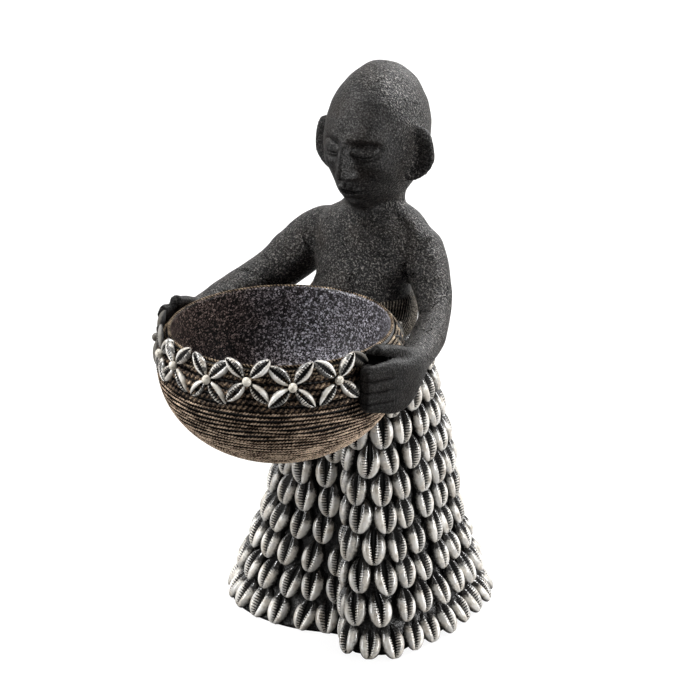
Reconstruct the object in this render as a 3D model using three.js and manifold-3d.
import * as THREE from 'three';
import { mergeVertices } from 'three/addons/utils/BufferGeometryUtils.js';
import Module from 'manifold-3d';

// Resin figurine: a standing figure in a skirt of cowrie shells holds a round bowl out in front.
// It is one casting. Millimetres, +Z up. The origin is the middle of the skirt's flat underside,
// the figure faces -Y and its left hand is on +X. Angles are in degrees, counted from the front
// towards the left hand, which is anticlockwise seen from above.

// Driving dimensions
const skirt = {
  height: 216,
  waistRadius: 39,
  coneWidening: 32, // from waist to hem, as a plain cone
  hemWidening: 22, // what the flared hem adds
  hemFlare: 5, // exponent of the hem's flare
  sway: 3.5, // to the left hand and back, at half height
  rows: 10,
  hemBand: 1.5, // bare band under the lowest shells
  rowRise: 20.3,
};
const cowrie = { width: 18.4, length: 25, bulge: 8.5 };
const bowl = {
  y: -108,
  rimZ: 256,
  rimRadius: 75,
  bellyRadius: 85,
  bellyDrop: 24, // from the rim down to the widest place
  depth: 94.5,
  wall: 7,
  lipWidth: 2,
  lipDrop: 6.5, // height of the slope from the lip out to the band
  bandDrop: 28, // lower edge of the band of flowers
  tip: { rise: 0.029, toward: 71 }, // its rim rises by this share towards this angle
  sides: 28,
};
const twine = { ribs: 7, relief: 1.2 };
const flower = {
  count: 18,
  firstAngle: -2.1,
  drop: 9.6, // of the bead below the rim
  petalLength: 17.5,
  petalWidth: 8.5,
  petalDepth: 5.6,
  upperTilt: 18, // of the upper petals towards the lip
  bead: 3.6,
  inset: 1.8, // of the petals' middles below the band's surface
};
const head = { y: 21, z: 356.3, halfWidth: 35, halfDepth: 45.5, halfHeight: 50.5, lean: 2 };
const ear = { z: 349, y: 16, height: 41, width: 18.5, reach: 48, thickness: 8, dish: 3.5 };
const hand = {
  thickness: 11,
  wristAngle: 107,
  tipAngles: { left: 70, right: 79 },
  knuckleAngle: 88,
  wristThickness: 19,
  wristHeight: 23,
  fingerHeight: 33,
  fingers: 4,
  groove: 1.6,
};
const thumb = {
  root: { radius: 89, angle: 107, z: 243, size: 6 },
  left: { radius: 86, angle: 81, z: 260, size: 4.8 },
  right: { radius: 82, angle: 84, z: 256.6, size: 4.8 },
};

const degree = Math.PI / 180;

const wasm = await Module();
wasm.setup();

// Point at a radius and an angle round the vertical axis through (0, middleY).
function around(radius, angle, z, middleY = 0) {
  return new THREE.Vector3(radius * Math.sin(angle * degree), middleY - radius * Math.cos(angle * degree), z);
}

// Hill of height 1 at a centre, with its own width on each side; a higher power gives a flatter top.
function hill(value, centre, widthBefore, widthAfter = widthBefore, power = 2) {
  const distance = value - centre;
  return Math.exp(-(Math.abs(distance / (distance < 0 ? widthBefore : widthAfter)) ** power));
}

// Difference between two angles, from -180 to 180.
function angleBetween(angle, from) {
  return ((((angle - from) % 360) + 540) % 360) - 180;
}

// Ring of points at even turns; phase shifts it by a share of one step.
function ring(count, pointAt, phase = 0) {
  const turns = Array.from({ length: count }, (_, i) => (i + phase) / count);
  return { turns, points: turns.map((turn, i) => pointAt(turn, i)) };
}

// Closed skin over rings that run anticlockwise seen from the last ring, with a fan over each end.
// Neighbouring rings may differ in their number of points: each step goes to the ring that lags.
function skinOver(rings) {
  const corners = [];
  const face = (...points) => points.forEach((point) => corners.push(point.x, point.y, point.z));
  const at = (loop, i) => loop.points[i % loop.points.length];
  const turn = (loop, i) => loop.turns[i % loop.turns.length] + Math.floor(i / loop.turns.length);
  const fan = (loop, middle, outward) => loop.points.forEach((point, i) => {
    const next = at(loop, i + 1);
    face(middle, outward ? point : next, outward ? next : point);
  });
  const middleOf = (loop) => loop.points
    .reduce((sum, point) => sum.add(point), new THREE.Vector3())
    .divideScalar(loop.points.length);
  for (let k = 1; k < rings.length; k++) {
    const [low, high] = [rings[k - 1], rings[k]];
    let [i, j] = [0, 0];
    while (i < low.points.length || j < high.points.length) {
      if (j >= high.points.length || (i < low.points.length && turn(low, i + 1) <= turn(high, j + 1))) {
        face(at(low, i), at(low, i + 1), at(high, j));
        i += 1;
      } else {
        face(at(low, i), at(high, j + 1), at(high, j));
        j += 1;
      }
    }
  }
  fan(rings[0], middleOf(rings[0]), false);
  fan(rings.at(-1), middleOf(rings.at(-1)), true);
  const geometry = new THREE.BufferGeometry();
  geometry.setAttribute('position', new THREE.Float32BufferAttribute(corners, 3));
  return geometry;
}

// Solid of a closed geometry, ready to be joined or cut.
function solidOf(geometry) {
  geometry.deleteAttribute('normal');
  geometry.deleteAttribute('uv');
  const merged = mergeVertices(geometry, 1e-4);
  return new wasm.Manifold(new wasm.Mesh({
    numProp: 3,
    vertProperties: new Float32Array(merged.attributes.position.array),
    triVerts: new Uint32Array(merged.index.array),
  }));
}

function geometryOf(solid) {
  const mesh = solid.getMesh();
  const geometry = new THREE.BufferGeometry();
  geometry.setAttribute('position', new THREE.BufferAttribute(mesh.vertProperties, 3));
  geometry.setIndex(new THREE.BufferAttribute(mesh.triVerts, 1));
  return geometry;
}

// Levels of a loft, each {z, width, depth, y}, read at any height by a smooth curve through them.
function levelsReader(levels) {
  const curve = new THREE.CatmullRomCurve3(levels.map(({ z, width }) => new THREE.Vector3(z, width, 0)));
  const other = new THREE.CatmullRomCurve3(levels.map(({ z, depth, y }) => new THREE.Vector3(z, depth, y)));
  return (share) => {
    const [a, b] = [curve.getPoint(share), other.getPoint(share)];
    return { z: a.x, width: a.y, depth: b.y, y: b.z };
  };
}

// Skirt: the cloth's folds at the hem, which fade towards the waist
function foldDepth(angle, z) {
  const off = (centre) => angleBetween(angle, centre);
  const valleys = -31 * hill(off(12), 0, 40, 12.5, off(12) > 0 ? 6 : 2)
    - 4 * hill(off(-28), 0, 18)
    - 4 * hill(off(62), 0, 18)
    - 8 * hill(off(92), 0, 22)
    - 9 * hill(off(158), 0, 17, 12)
    - 8 * hill(off(-112), 0, 13, 18);
  const crests = 7 * hill(off(43), 0, 12)
    + 6 * hill(off(-72), 0, 20)
    + 4 * hill(off(-146), 0, 15)
    + 4 * hill(off(128), 0, 14);
  return (valleys + crests) * (1 - 0.72 * (z / skirt.height));
}

function clothRadius(angle, z) {
  const fall = THREE.MathUtils.clamp(1 - z / skirt.height, 0, 1);
  const flare = skirt.coneWidening * fall + skirt.hemWidening * fall ** skirt.hemFlare;
  const sway = skirt.sway * Math.cos((angle - 120) * degree) * hill(z, 115, 45);
  return skirt.waistRadius + flare + sway + foldDepth(angle, z);
}

// One row of shells as three rings: the tips, the bellies and the tucked-in tops. Every other point lies
// on a shell's middle line, and the points between them lie in the gaps.
function shellRow(row) {
  const tipZ = skirt.hemBand + row * skirt.rowRise;
  const middleRadius = skirt.waistRadius + 1.5 * skirt.coneWidening * (1 - tipZ / skirt.height);
  const shells = Math.round((2 * Math.PI * middleRadius) / cowrie.width);
  const phase = row % 2 ? 0 : 1;
  const level = (shellRise, gapRise, shellOut, gapOut) => ring(2 * shells, (turn, i) => {
    const onShell = i % 2 === 0;
    const z = tipZ + (onShell ? shellRise : gapRise);
    return around(clothRadius(turn * 360, z) + (onShell ? shellOut : gapOut), turn * 360, z);
  }, phase);
  return [
    level(0, 0.3 * cowrie.length, 0.5 * cowrie.bulge, 0.15 * cowrie.bulge),
    level(0.36 * cowrie.length, 0.5 * cowrie.length, cowrie.bulge, 0.15 * cowrie.bulge),
    level(0.76 * cowrie.length, 0.8 * cowrie.length, 0.45 * cowrie.bulge, 0),
  ];
}

function makeSkirt() {
  const hem = (z, out) => ring(40, (turn) => around(clothRadius(turn * 360, z) + out, turn * 360, z));
  const rows = Array.from({ length: skirt.rows }, (_, row) => shellRow(row)).flat();
  const top = ring(24, (turn) => around(skirt.waistRadius - 4, turn * 360, skirt.height + 8));
  return solidOf(skinOver([hem(0, 1), hem(0.7 * skirt.hemBand, 1), ...rows, top]));
}

// Bowl: a turned shell with the twine's turns as rounded ribs below the band
function bowlOuter(drop) {
  const below = (drop - bowl.bellyDrop) / (bowl.depth - bowl.bellyDrop);
  if (below > 0) return bowl.bellyRadius * Math.sqrt(Math.max(0, 1 - below ** 2));
  return bowl.bellyRadius - 5.5 * (1 - drop / bowl.bellyDrop) ** 2;
}

// Tips a geometry made round the upright axis through the rim's middle, then takes it to the bowl's place
function tipped(geometry) {
  const slope = around(bowl.tip.rise, bowl.tip.toward, 0);
  const shear = new THREE.Matrix4().set(1, 0, 0, 0, 0, 1, 0, 0, slope.x, slope.y, 1, 0, 0, 0, 0, 1);
  return geometry.applyMatrix4(shear.premultiply(new THREE.Matrix4().makeTranslation(0, bowl.y, bowl.rimZ)));
}

// Solid turned about the bowl's axis from points [radius, drop below the rim]
function turned(outline) {
  const profile = outline.map(([radius, drop]) => new THREE.Vector2(radius, -drop));
  const lathe = new THREE.LatheGeometry(profile, bowl.sides);
  lathe.rotateX(90 * degree);
  return solidOf(tipped(lathe));
}

function makeBowl() {
  const outline = [[0, bowl.depth]];
  const ribDrop = (share) => bowl.bandDrop + (bowl.depth - bowl.bandDrop) * Math.sin(share * 84 * degree);
  for (let rib = twine.ribs; rib > 0; rib--) {
    const [crest, groove] = [ribDrop((rib - 0.5) / twine.ribs), ribDrop((rib - 1) / twine.ribs)];
    outline.push([bowlOuter(crest), crest], [bowlOuter(groove) - twine.relief, groove]);
  }
  outline.push([bowlOuter(bowl.lipDrop), bowl.lipDrop], [bowl.rimRadius + bowl.lipWidth, 0], [0, 0]);
  return turned(outline);
}

function makeHollow() {
  const steps = 6;
  const wall = Array.from({ length: steps }, (_, i) => {
    const slope = ((i + 1) / steps) * 90 * degree;
    const radius = i + 1 === steps ? 0 : bowl.rimRadius * Math.cos(slope) ** 0.8;
    return [radius, Math.sin(slope) * (bowl.depth - bowl.wall)];
  });
  return turned([...wall.reverse(), [bowl.rimRadius, 0], [bowl.rimRadius, -2], [0, -2]]);
}

// Flowers on the band: four cowries in a cross round a bead
function makeFlower(angle) {
  const pieces = [];
  const surface = bowlOuter(flower.drop) - flower.inset;
  for (const slant of [-135, -45, 45, 135]) {
    const petal = new THREE.SphereGeometry(0.5, 4, 3);
    petal.rotateZ(90 * degree);
    petal.scale(flower.petalLength, flower.petalWidth, 2 * flower.petalDepth);
    petal.translate(0.62 * flower.petalLength, 0, 0);
    petal.rotateZ(slant * degree);
    if (slant > 0) petal.rotateX(-flower.upperTilt * degree);
    pieces.push(petal);
  }
  const bead = new THREE.OctahedronGeometry(flower.bead, 0);
  bead.translate(0, 0, 0.9 * flower.bead);
  pieces.push(bead);
  const place = new THREE.Matrix4().makeRotationX(90 * degree)
    .premultiply(new THREE.Matrix4().makeTranslation(0, -surface, -flower.drop))
    .premultiply(new THREE.Matrix4().makeRotationZ(angle * degree));
  return pieces.map((piece) => solidOf(tipped(piece.applyMatrix4(place))));
}

// Torso: hip roll, waist, chest, shoulders and neck
function makeTorso() {
  const read = levelsReader([
    { z: 204, width: 40, depth: 36, y: 0 },
    { z: 220, width: 42, depth: 37, y: 0 },
    { z: 236, width: 41, depth: 36, y: 0 },
    { z: 247, width: 38, depth: 32, y: 0 },
    { z: 254, width: 35, depth: 28, y: 2 },
    { z: 262, width: 38, depth: 28, y: 5 },
    { z: 274, width: 43, depth: 27, y: 10 },
    { z: 286, width: 42, depth: 25, y: 14 },
    { z: 296, width: 30, depth: 21, y: 18 },
    { z: 308, width: 22, depth: 20, y: 18 },
    { z: 330, width: 25, depth: 25, y: 23 },
  ]);
  const steps = 12;
  return solidOf(skinOver(Array.from({ length: steps + 1 }, (_, i) => {
    const { z, width, depth, y } = read(i / steps);
    return ring(16, (turn) => {
      const point = around(1, turn * 360, z);
      return new THREE.Vector3(point.x * width, y + point.y * depth, z);
    });
  })));
}

// Limb along a smooth line through stations, each [x, y, z, radius]
function limb(stations, sides, steps) {
  const line = new THREE.CatmullRomCurve3(stations.map(([x, y, z]) => new THREE.Vector3(x, y, z)));
  const sizes = stations.map(([, , , radius], i) => new THREE.Vector3(i, radius, 0));
  const radii = new THREE.CatmullRomCurve3(sizes);
  const rings = Array.from({ length: steps + 1 }, (_, i) => {
    const tangent = line.getTangent(i / steps);
    const side = new THREE.Vector3(0, 0, 1).cross(tangent).normalize();
    const up = tangent.clone().cross(side);
    const radius = radii.getPoint(i / steps).y;
    return ring(sides, (turn) => line.getPoint(i / steps)
      .addScaledVector(side, radius * Math.cos(turn * 360 * degree))
      .addScaledVector(up, radius * Math.sin(turn * 360 * degree)));
  });
  return solidOf(skinOver(rings));
}

// Hand: a slab that follows the bowl's side down to blunt fingertips, with grooves between its fingers
function makePalm(side, tipAngle) {
  const { wristAngle, knuckleAngle, wristHeight, fingerHeight } = hand;
  const steps = 5;
  const sides = 4 * hand.fingers + 2;
  return solidOf(skinOver(Array.from({ length: steps + 1 }, (_, i) => {
    const angle = THREE.MathUtils.lerp(wristAngle, tipAngle, i / steps);
    const open = THREE.MathUtils.smoothstep(wristAngle - angle, 0, wristAngle - knuckleAngle);
    const halfHeight = THREE.MathUtils.lerp(wristHeight, fingerHeight, open) / 2;
    const thickness = THREE.MathUtils.lerp(hand.wristThickness, hand.thickness, open);
    const reach = bowl.bellyRadius + THREE.MathUtils.lerp(0.65 * thickness, 0.7 * thickness, open);
    const middleZ = bowl.rimZ - 19 - 2 * open;
    return ring(sides, (turn) => {
      const [across, rise] = [Math.cos(turn * 360 * degree), Math.sin(turn * 360 * degree)];
      const square = (across ** 4 + rise ** 4) ** -0.25;
      const isGroove = across > 0 && angle < knuckleAngle && Math.round(turn * sides) % 2 === 1;
      const radius = reach + (across * square - 1) * 0.5 * thickness - (isGroove ? hand.groove : 0);
      return around(radius, side * angle, middleZ + side * rise * square * halfHeight, bowl.y);
    });
  })));
}

const rightArm = [
  [-14, 18, 280, 16],
  [-40, 15, 276, 18.5],
  [-54, 3, 263, 18.5],
  [-66, -13, 250, 16.5],
  [-77, -44, 244, 13],
  [-87, -82, 235.5, 10.5],
];
const leftArm = [
  [14, 18, 282, 15],
  [36, 16, 278, 17],
  [51, 7, 262, 15],
  [64.5, -9, 245, 11.6],
  [75.5, -40, 236, 12],
  [87, -82, 237, 11],
];

// Forward relief of a plain carved face, in millimetres, over x to the side and z from the head's middle
function faceRelief(x, z) {
  const off = Math.abs(x);
  return 7 * hill(x, 0, 4.6) * hill(z, -12, 5, 15)
    + 2.5 * hill(off, 5, 3.5) * hill(z, -15, 4, 5)
    + 2.2 * hill(off, 12, 11) * hill(z, 11, 6)
    - 4 * hill(off, 13, 7) * hill(z, 2, 6.5)
    + 2.6 * hill(off, 13.2, 5.5) * hill(z, 0, 3.6)
    + 3 * hill(x, 0, 9) * hill(z, -27, 4.2)
    + 2.5 * hill(x, 0, 10) * hill(z, -40, 6);
}

// Head: a bald egg-shaped skull with its points drawn together towards the face, leaning a little forward
function makeHead() {
  const { halfWidth, halfDepth, halfHeight } = head;
  const [columns, rows] = [24, 15];
  const skull = new THREE.SphereGeometry(1, columns, rows);
  const position = skull.attributes.position;
  for (let i = 0; i < position.count; i++) {
    const column = i % (columns + 1);
    const row = Math.floor(i / (columns + 1));
    const evenTurn = (2 * Math.PI * (column % columns)) / columns;
    const evenTilt = (Math.PI * row) / rows;
    const turn = evenTurn + 0.5 * Math.sin(evenTurn);
    const tilt = evenTilt + 0.2 * Math.sin(2 * evenTilt);
    const [low, high] = [Math.max(0, -Math.cos(tilt)), Math.max(0, Math.cos(tilt))];
    const girth = Math.sin(tilt) ** (1 - 0.22 * low);
    const width = halfWidth * girth * (1 - 0.2 * low ** 1.4 - 0.08 * high ** 3);
    const depth = halfDepth * girth * (1 - 0.12 * low);
    const [x, z] = [-width * Math.sin(turn), halfHeight * Math.cos(tilt)];
    const forward = THREE.MathUtils.smoothstep(-Math.cos(turn) * Math.sin(tilt), 0.25, 0.75);
    position.setXYZ(i, x, depth * Math.cos(turn) + 3 * Math.cos(tilt) - forward * faceRelief(x, z), z);
  }
  skull.rotateX(head.lean * degree);
  skull.translate(0, head.y, head.z);
  return solidOf(skull);
}

// Ear: half a disc that stands out sideways, dished in front
function makeEar(side) {
  const plate = new THREE.SphereGeometry(1, 10, 7);
  plate.rotateX(90 * degree);
  const position = plate.attributes.position;
  for (let i = 0; i < position.count; i++) {
    const [x, y, z] = [position.getX(i), position.getY(i), position.getZ(i)];
    const dish = ear.dish * Math.min(1, Math.max(0, -3 * y)) * hill(Math.hypot(x - 0.15, z), 0, 0.62, 0.62, 4);
    const out = ear.reach - ear.width * (1 - x);
    position.setXYZ(i, side * out, ear.y + (y * ear.thickness) / 2 + dish, ear.z + (z * ear.height) / 2);
  }
  if (side < 0) plate.index.array.reverse();
  return solidOf(plate);
}

function isUnderHand(angle) {
  const turn = angleBetween(angle, 0);
  const tipAngle = turn > 0 ? hand.tipAngles.left : hand.tipAngles.right;
  return Math.abs(turn) > tipAngle && Math.abs(turn) < hand.wristAngle - 3;
}

// Thumb from the wrist to its tip at the bowl's lip; sizes are half its thickness
function makeThumb(side, tip) {
  const { lerp } = THREE.MathUtils;
  return limb([0, 0.35, 0.7, 1].map((share) => {
    const mixed = (key) => lerp(thumb.root[key], tip[key], share);
    const point = around(mixed('radius'), side * mixed('angle'), mixed('z'), bowl.y);
    return [point.x, point.y, point.z, mixed('size')];
  }), 7, 5);
}

const pieces = [
  makeSkirt(),
  makeTorso(),
  limb(rightArm, 9, 11),
  limb(leftArm, 9, 11),
  makeHead(),
  makeEar(1),
  makeEar(-1),
  makeBowl(),
  makePalm(1, hand.tipAngles.left),
  makePalm(-1, hand.tipAngles.right),
  makeThumb(1, thumb.left),
  makeThumb(-1, thumb.right),
];
const flowerStep = 360 / flower.count;
const flowerAngles = Array.from({ length: flower.count }, (_, i) => flower.firstAngle + i * flowerStep);
const flowers = flowerAngles.filter((angle) => !isUnderHand(angle)).map(makeFlower);
const figurine = pieces.concat(flowers.flat()).reduce((whole, piece) => whole.add(piece))
  .subtract(makeHollow());

const resin = new THREE.MeshStandardMaterial({ color: 0x2b2a29, roughness: 0.85, metalness: 0 });
const mesh = new THREE.Mesh(geometryOf(figurine), resin);
mesh.name = 'figurine';

const group = new THREE.Group();
group.add(mesh);

export default group;
